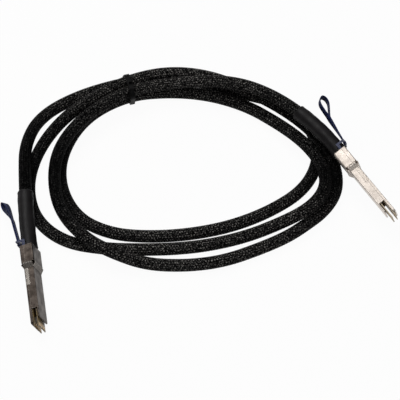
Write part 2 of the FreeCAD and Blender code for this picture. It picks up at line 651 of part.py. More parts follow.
def build():
    """Every node of the object, by name."""
    points = cable_route()
    nodes = {"braided_cable": braided_cable(), "cable_tie": cable_tie()}
    for side, plug in PLUGS.items():
        placement = plug_placement(plug)
        for name, shape in plug_pieces(plug).items():
            shape.Placement = placement.multiply(shape.Placement)
            nodes[f"{side}_{name}"] = shape
    nodes["left_heat_shrink"] = heat_shrink(PLUGS["left"], points)
    nodes["right_heat_shrink"] = heat_shrink(PLUGS["right"], points[::-1])
    return nodes


os.makedirs("parts", exist_ok=True)
for node, shape in build().items():
    shape.exportStep(f"parts/{node}.step")
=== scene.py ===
"""Direct attach copper cable: the visual model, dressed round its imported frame.

Lengths are in metres unless a name ends in _mm.
"""

import logging
import math
from collections.abc import Iterable, Sequence
from dataclasses import dataclass, field
from enum import Enum
from itertools import product

import bpy
import numpy as np
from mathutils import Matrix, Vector


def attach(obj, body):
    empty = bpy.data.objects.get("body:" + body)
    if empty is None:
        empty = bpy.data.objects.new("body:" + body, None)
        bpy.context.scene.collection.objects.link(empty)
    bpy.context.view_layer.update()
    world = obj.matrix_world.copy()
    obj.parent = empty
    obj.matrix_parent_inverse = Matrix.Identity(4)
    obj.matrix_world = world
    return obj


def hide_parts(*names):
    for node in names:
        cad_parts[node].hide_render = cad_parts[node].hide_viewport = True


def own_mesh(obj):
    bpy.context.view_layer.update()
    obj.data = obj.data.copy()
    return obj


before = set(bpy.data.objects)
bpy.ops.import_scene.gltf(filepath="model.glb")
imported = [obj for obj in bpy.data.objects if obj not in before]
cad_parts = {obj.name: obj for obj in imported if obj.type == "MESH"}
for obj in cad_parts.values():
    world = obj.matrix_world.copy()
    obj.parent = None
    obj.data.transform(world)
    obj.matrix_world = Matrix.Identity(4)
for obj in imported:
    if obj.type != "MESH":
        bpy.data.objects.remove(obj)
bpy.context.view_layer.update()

log = logging.getLogger("copper_cable")

Tree = bpy.types.NodeTree
Socket = bpy.types.NodeSocket
Inputs = dict[str | int, object]
Material = bpy.types.Material
Piece = bpy.types.Object
Point = tuple[float, float, float]
Colour = tuple[float, float, float, float]
Span = tuple[float, float]
Walk = tuple[np.ndarray, np.ndarray, np.ndarray, np.ndarray]
Ripple = tuple[float, int, float, float]
MM = 0.001
POINTS_PER_KNOT = 16
FIXED_BODY = "cable_and_plugs"


# ---- colour, nodes and meshes ----
def linear(hex_colour: str) -> Colour:
    """Turns an sRGB hex colour such as "#1e1c1e" to linear red, green, blue and an alpha of 1."""
    parts = [int(hex_colour[i : i + 2], 16) / 255 for i in (1, 3, 5)]
    return (*[c / 12.92 if c <= 0.04045 else ((c + 0.055) / 1.055) ** 2.4 for c in parts], 1.0)


def per_metre(size_mm: float) -> float:
    """Returns how many times a pattern of this size repeats in a metre."""
    return 1000.0 / size_mm


def feed(tree: Tree, node: bpy.types.Node, sockets: Inputs) -> None:
    """Sets a node's inputs.

    Args:
        tree: The node tree.
        node: The node.
        sockets: Socket name or number to a constant or to the socket that feeds it.
    """
    for key, value in sockets.items():
        if isinstance(value, Socket):
            tree.links.new(value, node.inputs[key])
        else:
            node.inputs[key].default_value = value


def add_node(tree: Tree, kind: str, sockets: Inputs | None = None, **settings: object) -> bpy.types.Node:
    """Adds a node with its settings and links.

    Args:
        tree: The node tree.
        kind: The node's type name.
        sockets: Its inputs, as feed takes them.
        **settings: The node's own properties.

    Returns:
        The new node.
    """
    node = tree.nodes.new(kind)
    for name, value in settings.items():
        setattr(node, name, value)
    feed(tree, node, sockets or {})
    return node


def maths(tree: Tree, operation: str, *terms: float | Socket, clamp: bool = False) -> Socket:
    """Returns the result of one operation on its terms, and keeps it from 0 to 1 if it is clamped."""
    return add_node(tree, "ShaderNodeMath", dict(enumerate(terms)), operation=operation, use_clamp=clamp).outputs[0]


def remap(tree: Tree, value: Socket, source: Span, target: Span = (0.0, 1.0)) -> Socket:
    """Returns a value stretched from one span to another, and held at its ends."""
    sockets = {"Value": value, "From Min": source[0], "From Max": source[1], "To Min": target[0], "To Max": target[1]}
    return add_node(tree, "ShaderNodeMapRange", sockets).outputs[0]


def noise(tree: Tree, size_mm: float, detail: float, roughness: float = 0.5) -> Socket:
    """Adds noise that is fixed to the object.

    Args:
        tree: The node tree.
        size_mm: The size of its patches.
        detail: How many finer layers it has.
        roughness: How strong those are.

    Returns:
        The socket of its level.
    """
    sockets = {"Vector": add_node(tree, "ShaderNodeTexCoord").outputs["Object"], "Scale": per_metre(size_mm),
               "Detail": detail, "Roughness": roughness}
    return add_node(tree, "ShaderNodeTexNoise", sockets).outputs["Fac"]


def cloth_ways(tree: Tree) -> tuple[Socket, Socket]:
    """Finds a place on the cloth.

    Args:
        tree: The node tree.

    Returns:
        How far along and how far across the cloth it is, in metres.
    """
    cloth = add_node(tree, "ShaderNodeUVMap", uv_map="cloth").outputs["UV"]
    ways = add_node(tree, "ShaderNodeSeparateXYZ", {0: cloth})
    return ways.outputs["X"], ways.outputs["Y"]


def wave(tree: Tree, way: Socket, size_mm: float, shape: str) -> Socket:
    """Returns a sine or cosine of this length along a way over the cloth."""
    return maths(tree, shape, maths(tree, "MULTIPLY", way, 2 * math.pi * per_metre(size_mm)))


def relief(tree: Tree, height: Socket, depth_mm: float, strength: float = 1.0) -> Socket:
    """Returns the surface's direction under a raised pattern."""
    bump = add_node(tree, "ShaderNodeBump", {"Height": height, "Strength": strength, "Distance": depth_mm * MM})
    return bump.outputs["Normal"]


def dot(tree: Tree, first: Socket, second: Socket | Point) -> Socket:
    """Returns how far one direction or place lies along another."""
    return add_node(tree, "ShaderNodeVectorMath", {0: first, 1: second}, operation="DOT_PRODUCT").outputs["Value"]


def blend(tree: Tree, share: Socket, base: Socket, colour: str) -> Socket:
    """Returns a colour that turns from the base to an sRGB hex colour by the share."""
    mix = add_node(tree, "ShaderNodeMix", {0: share, 6: base, 7: linear(colour)}, data_type="RGBA")
    return mix.outputs[2]


def colour_band(tree: Tree, factor: Socket, stops: Sequence[tuple[float, str]]) -> Socket:
    """Turns a factor into colours.

    Args:
        tree: The node tree.
        factor: What picks the colour.
        stops: Places from 0 to 1, each with its sRGB hex colour.

    Returns:
        The colour socket.
    """
    ramp = add_node(tree, "ShaderNodeValToRGB", {"Fac": factor})
    elements = ramp.color_ramp.elements
    while len(elements) < len(stops):
        elements.new(0.5)
    for element, (place, colour) in zip(elements, stops):
        element.position = place
        element.color = linear(colour)
    return ramp.outputs["Color"]


def new_material(name: str) -> tuple[Material, Tree, bpy.types.Node]:
    """Starts a material with one principled shader.

    Args:
        name: The finish's name.

    Returns:
        The material, its node tree and the shader.
    """
    material = bpy.data.materials.new(name)
    material.use_nodes = True
    tree = material.node_tree
    tree.nodes.clear()
    shader = add_node(tree, "ShaderNodeBsdfPrincipled")
    add_node(tree, "ShaderNodeOutputMaterial", {"Surface": shader.outputs["BSDF"]})
    return material, tree, shader


def new_piece(name: str, vertices: np.ndarray, faces: Iterable[Sequence[int]], finish: Material,
              uv: np.ndarray | None = None, smooth: bool = True) -> Piece:
    """Makes a mesh object in the scene.

    Args:
        name: The piece's name.
        vertices: Its corners in the row frame.
        faces: Its faces as corner numbers.
        finish: Its material.
        uv: A place on the cloth for each corner, in metres, where the finish is woven.
        smooth: Whether its faces are shaded smooth.

    Returns:
        The object.
    """
    mesh = bpy.data.meshes.new(name)
    mesh.from_pydata([tuple(v) for v in vertices], [], [tuple(f) for f in faces])
    if uv is not None:
        layer = mesh.uv_layers.new(name="cloth")
        corners = np.zeros(len(mesh.loops), np.int32)
        mesh.loops.foreach_get("vertex_index", corners)
        layer.data.foreach_set("uv", np.asarray(uv, np.float32)[corners].ravel())
    mesh.materials.append(finish)
    mesh.polygons.foreach_set("use_smooth", [smooth] * len(mesh.polygons))
    mesh.update()
    return put_in_scene(name, mesh)


def put_in_scene(name: str, data: bpy.types.ID) -> Piece:
    """Makes an object of a mesh, curve, lamp or camera and puts it in the scene.

    Args:
        name: The object's name.
        data: What it shows.

    Returns:
        The object.
    """
    piece = bpy.data.objects.new(name, data)
    bpy.context.scene.collection.objects.link(piece)
    return piece


def wear(node: str, finish: Material) -> None:
    """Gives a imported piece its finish.

    Args:
        node: The piece's name in the frame.
        finish: Its material.
    """
    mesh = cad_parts[node].data
    mesh.materials.clear()
    mesh.materials.append(finish)


def distances_along(line: np.ndarray) -> np.ndarray:
    """Returns how far along a line each of its points is."""
    return np.concatenate([[0.0], np.cumsum(np.linalg.norm(np.diff(line, axis=0), axis=1))])


def grid_faces(rows: int, columns: int, wrap_rows: bool = False, wrap_columns: bool = True,
               first: int = 0) -> list[tuple[int, ...]]:
    """Joins a grid of corners with four-sided faces.

    Args:
        rows: Rings of corners.
        columns: Corners in a ring.
        wrap_rows: Whether the last ring joins the first.
        wrap_columns: Whether each ring is closed.
        first: The number of the first corner.

    Returns:
        The faces.
    """
    return [
        tuple(first + (i + down) % rows * columns + (j + on) % columns for down, on in ((0, 0), (0, 1), (1, 1), (1, 0)))
        for i in range(rows if wrap_rows else rows - 1)
        for j in range(columns if wrap_columns else columns - 1)
    ]


def tube_faces(rows: int, columns: int, first: int) -> list[tuple[int, ...]]:
    """Joins rings of corners as a tube and closes its ends.

    Args:
        rows: Rings of corners.
        columns: Corners in a ring.
        first: The number of the first corner.

    Returns:
        The faces, the two ends last.
    """
    last = first + (rows - 1) * columns
    caps = [tuple(reversed(range(first, first + columns))), tuple(range(last, last + columns))]
    return grid_faces(rows, columns, first=first) + caps


# ---- finishes ----
@dataclass(frozen=True)
class BraidedPolyester:
    """Expandable sleeving braided from flat bundles of polyester monofilament.

    Each monofilament is drawn, so it is smooth and round. In the colour, the thin bright lines along the black
    bundles are a painted highlight, the flecks that break them are painted glints, and where a bundle dips under
    others it gets painted shade. Real filament is about 0.25 mm thick with flecks as fine. Both are drawn coarser
    here, so that they show.
    """

    name: str = "braided_polyester"
    # gap and flank are painted shade, in the dips and on the sides of each bundle; crown and glint are a painted
    # highlight and painted glints on the floats
    gap: str = "#020202"
    flank: str = "#0a0a0b"
    crown: str = "#454443"
    glint: str = "#c2beb8"
    filament_mm: float = 0.43
    fleck_mm: float = 1.6
    fleck_span: Span = (0.38, 0.66)
    crown_span: Span = (-1.6, 1.0)
    lift_power: float = 2.0
    relief_share: float = 0.2
    roughness: float = 0.5
    ior: float = 1.57
    specular: float = 0.01

    def build(self) -> Material:
        """Makes the material; its cloth coordinates run along and across a bundle.

        Returns:
            The material.
        """
        material, tree, shader = new_material(self.name)
        # painted highlight: a bright line down the middle of each filament
        crown = wave(tree, cloth_ways(tree)[1], self.filament_mm, "COSINE")
        # painted glints: noise that breaks the painted highlight into flecks
        painted_glints = remap(tree, noise(tree, self.fleck_mm, detail=2.0, roughness=0.6), self.fleck_span)
        # the lift attribute paints shade where a bundle dips under the others and highlight where it rides over them
        lift = add_node(tree, "ShaderNodeAttribute", attribute_name="lift").outputs["Fac"]
        steep = maths(tree, "POWER", lift, self.lift_power)
        high = maths(tree, "MULTIPLY", remap(tree, crown, self.crown_span), steep)
        shade = maths(tree, "MULTIPLY", high, painted_glints, clamp=True)
        # the colour runs from painted shade in the gaps to painted glints on the crests
        stops = ((0.0, self.gap), (0.12, self.flank), (0.5, self.crown), (1.0, self.glint))
        feed(tree, shader, {
            "Base Color": colour_band(tree, shade, stops),
            "Normal": relief(tree, crown, self.relief_share * self.filament_mm, strength=0.8),
            "Roughness": self.roughness, "IOR": self.ior, "Specular IOR Level": self.specular,
        })
        return material


@dataclass(frozen=True)
class MouldedFinish:
    """A plain polymer surface with its tone, its fine grain and broad unevenness.

    Shrunk or moulded plastic keeps a soft skin: the eye gets one broad highlight, broken by slight waves.
    """

    name: str
    low: str
    high: str
    tone_mm: float
    grain_mm: float
    grain_depth_mm: float
    roughness: float
    ior: float = 1.5
    specular: float = 0.5
    unevenness: float = 0.06

    def build(self) -> Material:
        """Makes the material.

        Returns:
            The material.
        """
        material, tree, shader = new_material(self.name)
        tone = noise(tree, self.tone_mm, detail=4.0)
        rough = (self.roughness - self.unevenness, self.roughness + self.unevenness)
        feed(tree, shader, {
            "Base Color": colour_band(tree, tone, ((0.35, self.low), (0.65, self.high))),
            "Normal": relief(tree, noise(tree, self.grain_mm, detail=2.0), self.grain_depth_mm),
            "Roughness": remap(tree, tone, (0.3, 0.7), rough),
            "IOR": self.ior, "Specular IOR Level": self.specular,
        })
        return material


@dataclass(frozen=True)
class PlatedMetal:
    """Nickel over die-cast zinc, or bare stamped steel.

    Cast metal is faintly mottled and pitted under its plate, and handling dulls it in patches and brightens its edges.
    On the right plug's casting and collar the edges are darker instead: a painted dark reflection of edges seen at a
    grazing angle.
    """

    name: str
    dull: str
    bright: str
    stain: str
    mottle_mm: float = 9.0
    pit_mm: float = 1.6
    pit_depth_mm: float = 0.04
    roughness: float = 0.32
    duller: float = 0.12
    shinier: float = 0.06
    metallic: float = 1.0
    edge_mm: float = 0.35
    edge_span: Span = (0.985, 0.9)
    edge: str = "#c9c2ba"

    def build(self) -> Material:
        """Makes the material.

        Returns:
            The material.
        """
        material, tree, shader = new_material(self.name)
        mottle = noise(tree, self.mottle_mm, detail=6.0, roughness=0.65)
        base = colour_band(tree, mottle, ((0.3, self.stain), (0.45, self.dull), (0.68, self.bright)))
        # the rim takes the edge colour: lighter where handling rubs it, and darker as a painted reflection on the right
        # plug's casting and collar
        rim = add_node(tree, "ShaderNodeBevel", {"Radius": self.edge_mm * MM}, samples=4)
        flat = add_node(tree, "ShaderNodeNewGeometry").outputs["Normal"]
        edge = remap(tree, dot(tree, rim.outputs[0], flat), self.edge_span)
        rough = (self.roughness + self.duller, self.roughness - self.shinier)
        feed(tree, shader, {
            "Base Color": blend(tree, edge, base, self.edge),
            "Normal": relief(tree, noise(tree, self.pit_mm, detail=2.0), self.pit_depth_mm),
            "Roughness": remap(tree, mottle, (0.3, 0.7), rough),
            "Metallic": self.metallic,
        })
        return material


@dataclass(frozen=True)
class NylonWebbing:
    """Narrow tape woven from dyed nylon.

    Its weft shows as fine ribs across the tape under slightly hairy warp yarns: the eye gets a soft sheen along the
    folds.
    """

    name: str = "nylon_webbing"
    valley: str = "#080f2a"
    rib: str = "#162558"
    rib_mm: float = 0.9
    warp_mm: float = 0.7
    fibre_mm: float = 2.5
    fibre_share: float = 0.6
    weave_share: float = 0.6
    depth_mm: float = 0.15
    roughness: float = 0.6
    ior: float = 1.53
    specular: float = 0.25

    def build(self) -> Material:
        """Makes the material; its cloth coordinates run along and across the tape.

        Returns:
            The material.
        """
        material, tree, shader = new_material(self.name)
        sizes = (self.rib_mm, self.warp_mm)
        weave = maths(tree, "MULTIPLY", *(wave(tree, way, size, "SINE") for way, size in zip(cloth_ways(tree), sizes)))
        level = remap(tree, weave, (-1.0, 1.0), (0.0, self.weave_share))
        shade = maths(tree, "MULTIPLY_ADD", noise(tree, self.fibre_mm, detail=5.0), self.fibre_share, level)
        feed(tree, shader, {
            "Base Color": colour_band(tree, shade, ((0.2, self.valley), (0.85, self.rib))),
            "Normal": relief(tree, weave, self.depth_mm, strength=0.7),
            "Roughness": self.roughness, "IOR": self.ior, "Specular IOR Level": self.specular,
        })
        return material


def dip_bar(material: Material, pose: "PlugPose", reach: float = -0.0004, coat: str = "#0b1b47") -> None:
    """Coats the end of the slide, behind the plug, with blue dipped vinyl.

    Args:
        material: The slide's metal.
        pose: Where its plug lies.
        reach: Where the coat ends along the plug.
        coat: The coat's colour.
    """
    tree = material.node_tree
    shader = next(node for node in tree.nodes if node.type == "BSDF_PRINCIPLED")
    nose = pose.axes()[0]
    depth = dot(tree, add_node(tree, "ShaderNodeTexCoord").outputs["Object"], tuple(nose))
    coated = maths(tree, "LESS_THAN", depth, float(nose @ np.asarray(pose.rear)) + reach)
    bare = shader.inputs["Base Color"].links[0].from_socket
    metal = maths(tree, "SUBTRACT", 1.0, coated)
    feed(tree, shader, {"Base Color": blend(tree, coated, bare, coat), "Metallic": metal})


RECIPES = (
    MouldedFinish("heat_shrink", "#0d0b0c", "#141113", tone_mm=9.0, grain_mm=1.1, grain_depth_mm=0.05,
                  roughness=0.55, ior=1.51, specular=0.22),
    MouldedFinish("cable_jacket", "#010101", "#030303", tone_mm=6.0, grain_mm=0.8, grain_depth_mm=0.03,
                  roughness=0.7, specular=0.05),
    MouldedFinish("tie_nylon", "#050505", "#0b0b0c", tone_mm=5.0, grain_mm=0.6, grain_depth_mm=0.02,
                  roughness=0.5, ior=1.53, specular=0.08),
    MouldedFinish("spacer_resin", "#1b1b1d", "#262629", tone_mm=4.0, grain_mm=0.5, grain_depth_mm=0.02, roughness=0.5),
    # left_ and right_ finishes are one material twice: the left copies are darkened as painted shade, the right copies
    # lightened as painted light
    MouldedFinish("left_card_laminate", "#5a4626", "#75602f", tone_mm=5.0, grain_mm=0.4, grain_depth_mm=0.02,
                  roughness=0.45, ior=1.55),
    MouldedFinish("right_card_laminate", "#b7a68a", "#cfc0a6", tone_mm=5.0, grain_mm=0.4, grain_depth_mm=0.02,
                  roughness=0.45, ior=1.55),
    MouldedFinish("sewing_thread", "#1c2c66", "#3450a0", tone_mm=1.2, grain_mm=0.3, grain_depth_mm=0.03,
                  roughness=0.6, ior=1.53),
    # the same for the metals: the left plug's in painted shade, the right plug's in painted light; the right casting
    # and collar also get dark edges as a painted reflection
    PlatedMetal("left_die_casting", "#433c37", "#5b534d", "#332e2a", roughness=0.42, edge="#8d867f"),
    PlatedMetal("right_die_casting", "#d2c8bf", "#e0d6cc", "#c6bcb2", roughness=0.42, edge_mm=0.6, edge="#5a5048"),
    PlatedMetal("left_collar", "#6f6963", "#86807a", "#5b5651", roughness=0.4, metallic=0.5, edge="#9a938c"),
    PlatedMetal("right_collar", "#d3c9bf", "#e6dcd2", "#bcb2a8", roughness=0.4, metallic=0.5, edge="#a0968c"),
    PlatedMetal("left_stamped_steel", "#7d7872", "#a09a93", "#635e59", pit_depth_mm=0.01, roughness=0.26),
    PlatedMetal("right_stamped_steel", "#c4bab0", "#e0d6cc", "#a89e95", pit_depth_mm=0.01, roughness=0.3),
    PlatedMetal("wire_foil", "#b4b4b8", "#d8d8dc", "#8e8e92", mottle_mm=1.5, roughness=0.3),
    PlatedMetal("brass_ferrule", "#a8946a", "#cbb78a", "#786646", mottle_mm=3.0, roughness=0.35),
    PlatedMetal("contact_gold", "#b08a45", "#cfa763", "#8a6a34", mottle_mm=2.0, pit_depth_mm=0.005, roughness=0.3),
    BraidedPolyester(),
    NylonWebbing(),
)
Finishes = dict[str, Material]


def make_finishes() -> Finishes:
    """Makes every finish of the cable once.

    Returns:
        The materials by name.
    """
    finishes = {recipe.name: recipe.build() for recipe in RECIPES}
    for side in Side:
        dip_bar(finishes[f"{side.value}_stamped_steel"], POSES[side])
    return finishes


# ---- where the plugs lie ----
class Side(Enum):
    """The two ends of the cable."""

    LEFT = "left"
    RIGHT = "right"


@dataclass(frozen=True)
class PlugPose:
    """Where a plug lies, as the CAD source has it, and how its strap hangs here, which is looser than there.

    rear is the middle of its backshell's rear, and the heading, dip and roll turn it there. tab_side is 1 or -1 for
    the face that the strap is on. Angles are in degrees.
    """

    rear: Point
    heading: float
    dip: float
    roll: float
    tab_side: int
    tab_lean: float
    tab_bend: float
    tab_twist: float
    twist_start: float
    twist_end: float
    loop_width: float

    def axes(self) -> np.ndarray:
        """Finds the plug's own axes.

        Returns:
            Rows that point towards its nose, across it, and towards its strap.
        """
        heading, dip, roll = (math.radians(a) for a in (self.heading, self.dip, self.roll))
        nose = np.array([math.cos(heading) * math.cos(dip), math.sin(heading) * math.cos(dip), -math.sin(dip)])
        level = np.array([-math.sin(heading), math.cos(heading), 0.0])
        strap = (level * math.cos(roll) + np.cross(nose, level) * math.sin(roll)) * self.tab_side
        return np.array([nose, np.cross(strap, nose), strap])

    def place(self, points: np.ndarray) -> np.ndarray:
        """Takes points from the plug's own frame to the row frame."""
        return np.asarray(self.rear) + np.asarray(points) @ self.axes()


POSES = {
    Side.LEFT: PlugPose(
        rear=(-0.1702, -0.0395, 0.0163), heading=-81.0, dip=3.0, roll=18.0, tab_side=-1, tab_lean=8.0, tab_bend=12.0,
        tab_twist=27.0, twist_start=0.028, twist_end=0.0575, loop_width=0.0046),
    Side.RIGHT: PlugPose(
        rear=(0.1445, 0.0653, 0.033), heading=-54.5, dip=6.0, roll=20.0, tab_side=1, tab_lean=7.0, tab_bend=13.0,
        tab_twist=24.0, twist_start=0.004, twist_end=0.035, loop_width=0.0088),
}


# ---- the cable ----
@dataclass
class Cable:
    """The sleeved cable: its jacket, the braided sleeve on it, and its way from plug to plug.

    neck and first_run are the straight lengths behind each plug, and covered is how much of each end has no braid,
    under the heat-shrink. carriers is how many bundles wind each way, press flattens the top of each float, and
    bundle_offset shifts the cloth so that no two bundles look alike.
    """

    finishes: Finishes
    diameter: float = 0.013
    sleeve_depth: float = 0.0005
    neck: float = 0.008
    first_run: float = 0.024
    covered: float = 0.03
    carriers: int = 16
    pitch: float = 0.045
    bundle_width: float = 0.00172
    weave_rise: float = 0.00017
    press: float = 1.13
    bundle_offset: float = 0.011
    # these two set the painted glint, brighter where the cable runs across the main light
    least_painted_glint: float = 0.66
    more_painted_glint: float = 0.44
    route: tuple[Point, ...] = (
        # up the left side and along the outer row of the bundle
        (-0.1795, 0.042, 0.022), (-0.1825, 0.089, 0.015), (-0.1695, 0.129, 0.008), (-0.1325, 0.157, 0.0065),
        (-0.081, 0.174, 0.0089), (-0.037, 0.181, 0.0065), (0.005, 0.177, 0.0065), (0.046, 0.161, 0.0065),
        (0.082, 0.151, 0.0065), (0.108, 0.131, 0.0065), (0.123, 0.1, 0.0065), (0.122, 0.067, 0.0065),
        (0.105, 0.036, 0.0065),
        # back along the innermost strand
        (0.072, 0.012, 0.0065), (0.033, -0.006, 0.0065), (-0.01, -0.016, 0.0065), (-0.053, -0.019, 0.0065),
        (-0.0915, -0.015, 0.0065), (-0.1255, 0.0035, 0.0065), (-0.145, 0.042, 0.0065), (-0.1445, 0.085, 0.0065),
        (-0.1215, 0.1305, 0.0065),
        # second turn: the bundle's inner row, over the first turn at the right, then the middle strand
        (-0.078, 0.157, 0.0089), (-0.034, 0.164, 0.0065), (0.009, 0.16, 0.0065), (0.05, 0.145, 0.0065),
        (0.081, 0.119, 0.012), (0.104, 0.093, 0.02), (0.119, 0.073, 0.0205), (0.1268, 0.0555, 0.0205),
        (0.1292, 0.037, 0.0205), (0.1222, 0.0195, 0.0205), (0.1067, 0.0052, 0.0175), (0.081, -0.006, 0.0115),
        (0.047, -0.0185, 0.0065), (0.01, -0.0285, 0.0065), (-0.024, -0.033, 0.0065), (-0.06, -0.034, 0.0065),
        (-0.097, -0.033, 0.0065), (-0.138, -0.025, 0.0065), (-0.168, 0.0015, 0.0065), (-0.1785, 0.042, 0.0065),
        (-0.1705, 0.085, 0.0065), (-0.1465, 0.1225, 0.012),
        # third turn: on top of the outer row, down the right side and along the outermost strand
        (-0.112, 0.147, 0.02), (-0.077, 0.168, 0.0206), (-0.036, 0.18, 0.02), (0.006, 0.176, 0.02),
        (0.046, 0.158, 0.02), (0.083, 0.135, 0.02), (0.111, 0.11, 0.02), (0.127, 0.088, 0.02),
        (0.138, 0.069, 0.0145), (0.142, 0.051, 0.0075), (0.139, 0.0315, 0.0065), (0.1262, 0.0115, 0.0065),
        (0.1075, -0.0045, 0.0065), (0.088, -0.019, 0.0065), (0.06, -0.033, 0.0065), (0.024, -0.0475, 0.0065),
        (-0.014, -0.053, 0.0065), (-0.054, -0.052, 0.008), (-0.086, -0.045, 0.018),
        # last half turn: on top of the innermost strand, then over everything to the right plug
        (-0.1145, -0.031, 0.022), (-0.1418, 0.0025, 0.02), (-0.151, 0.044, 0.02), (-0.1463, 0.0835, 0.02),
        (-0.1218, 0.122, 0.02), (-0.08, 0.153, 0.0216), (-0.038, 0.164, 0.02), (-0.004, 0.163, 0.026),
        (0.027, 0.158, 0.033), (0.058, 0.148, 0.035), (0.092, 0.126, 0.036),
    )
    jacket: Piece = field(init=False)
    line: np.ndarray = field(init=False)

    def corners(self) -> list[np.ndarray]:
        """Gathers the route's points.

        Returns:
            Points straight out of one plug, round the coil, and straight into the other.
        """
        ends = {}
        for side, pose in POSES.items():
            nose = pose.axes()[0]
            ends[side] = [np.asarray(pose.rear) - nose * reach for reach in (self.neck, self.neck + self.first_run)]
        laid = [np.asarray(point) for point in self.route]
        return [*ends[Side.LEFT], *laid, *reversed(ends[Side.RIGHT])]

    def lay(self) -> None:
        """Makes the jacket on the route's own smooth line, and reads that line off it."""
        curve = bpy.data.curves.new("cable_jacket", "CURVE")
        curve.dimensions = "3D"
        curve.resolution_u = 24
        spline = curve.splines.new("NURBS")
        corners = self.corners()
        spline.points.add(len(corners) - 1)
        for point, place in zip(spline.points, corners):
            point.co = (*place, 1.0)
        spline.order_u = 3
        spline.use_endpoint_u = True
        self.jacket = put_in_scene("cable_jacket", curve)
        bpy.context.view_layer.update()
        plain = bpy.data.meshes.new_from_object(self.jacket)
        self.line = np.array([v.co for v in plain.vertices])
        bpy.data.meshes.remove(plain)
        curve.bevel_depth = self.diameter / 2 - self.sleeve_depth
        curve.bevel_resolution = 3
        curve.materials.append(self.finishes["cable_jacket"])

    def length(self) -> float:
        """Returns the length of the cable's line."""
        return float(np.linalg.norm(np.diff(self.line, axis=0), axis=1).sum())

    def stations(self, step: float, start: float = 0.0, stop: float | None = None, backward: bool = False) -> Walk:
        """Walks the cable's line in even steps.

        Args:
            step: The longest step.
            start: How far along the line to begin.
            stop: How far along to end, or None for the whole line.
            backward: Whether to walk from the right plug.

        Returns:
            Distances, places, and two directions square to the line at each place, which never twist.
        """
        line = self.line[::-1] if backward else self.line
        gone = distances_along(line)
        stop = gone[-1] if stop is None else stop
        distances = np.linspace(start, stop, max(2, math.ceil((stop - start) / step) + 1))
        places = np.array([np.interp(distances, gone, line[:, axis]) for axis in range(3)]).T
        along = np.gradient(places, axis=0)
        along /= np.linalg.norm(along, axis=1)[:, None]
        side = np.cross(along[0], (0.0, 0.0, 1.0))
        sides = []
        for way in along:
            side = side - way * (side @ way)
            side /= np.linalg.norm(side)
            sides.append(side)
        sides = np.array(sides)
        return distances, places, sides, np.cross(along, sides)

    def braid(self, name: str, hand: int) -> Piece:
        """Weaves the bundles that wind one way round the cable, two over and two under the others.

        Args:
            name: The piece's name.
            hand: 1 or -1 for the way that they wind.

        Returns:
            The piece.
        """
        crossing = self.pitch / (2 * self.carriers)
        span = {"start": self.covered, "stop": self.length() - self.covered}
        distances, places, sides, ups = self.stations(crossing / 2, **span)
        rows = len(distances)
        lean = math.atan(math.pi * self.diameter / self.pitch)
        radius = self.diameter / 2 - self.weave_rise
        along = np.cross(sides, ups)
        # painted glint: the braid's colour is made brighter where the cable runs along x, across the main light, as
        # drawn filament would glint there
        painted_glint_share = self.least_painted_glint + self.more_painted_glint * np.abs(along[:, 0])
        vertices, uv, faces, painted_light_levels = [], [], [], []
        for carrier in range(self.carriers):
            count = hand * distances / crossing + 2 * carrier
            lift = hand * np.clip(np.sin((count + 0.5) * math.pi / 2) * self.press, -1, 1)
            # each corner's level paints shade where its bundle dips and highlight where it rides over
            painted_light_levels.append(np.repeat(painted_glint_share * (lift + 1) / 2, 2))
            lift = lift * self.weave_rise
            angle = hand * (2 * math.pi * distances / self.pitch) + 2 * math.pi * carrier / self.carriers
            ring = []
            for edge in (-0.5, 0.5):
                reach = edge * self.bundle_width
                turn = angle + reach * math.cos(lean) / radius
                slip = -hand * reach * math.sin(lean)
                spot = places + along * slip
                out = sides * np.cos(turn)[:, None] + ups * np.sin(turn)[:, None]
                ring.append(spot + out * (radius + lift)[:, None])
            first = len(vertices) * 2 * rows
            vertices.append(np.stack(ring, axis=1).reshape(-1, 3))
            cloth = distances / math.cos(lean) + carrier * self.bundle_offset
            uv.append(np.stack([np.repeat(cloth, 2), np.tile([0.0, self.bundle_width], rows)], axis=1))
            faces += grid_faces(rows, 2, wrap_columns=False, first=first)
        finish = self.finishes["braided_polyester"]
        piece = new_piece(name, np.concatenate(vertices), faces, finish, np.concatenate(uv))
        # the attribute carries the painted shade, highlight and glint into the braid's colour
        attribute = piece.data.attributes.new("lift", "FLOAT", "POINT")
        attribute.data.foreach_set("value", np.concatenate(painted_light_levels).astype(np.float32))
        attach(piece, FIXED_BODY)
        return piece

    def build(self) -> None:
        """Makes every piece of the cable between its plugs, and hangs each on the fixed body."""
        self.lay()
        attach(self.jacket, FIXED_BODY)
        lays = [self.braid("braid_right_lay", 1), self.braid("braid_left_lay", -1)]
        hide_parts("braided_cable")
        log.info("cable line %.3f m", self.length())


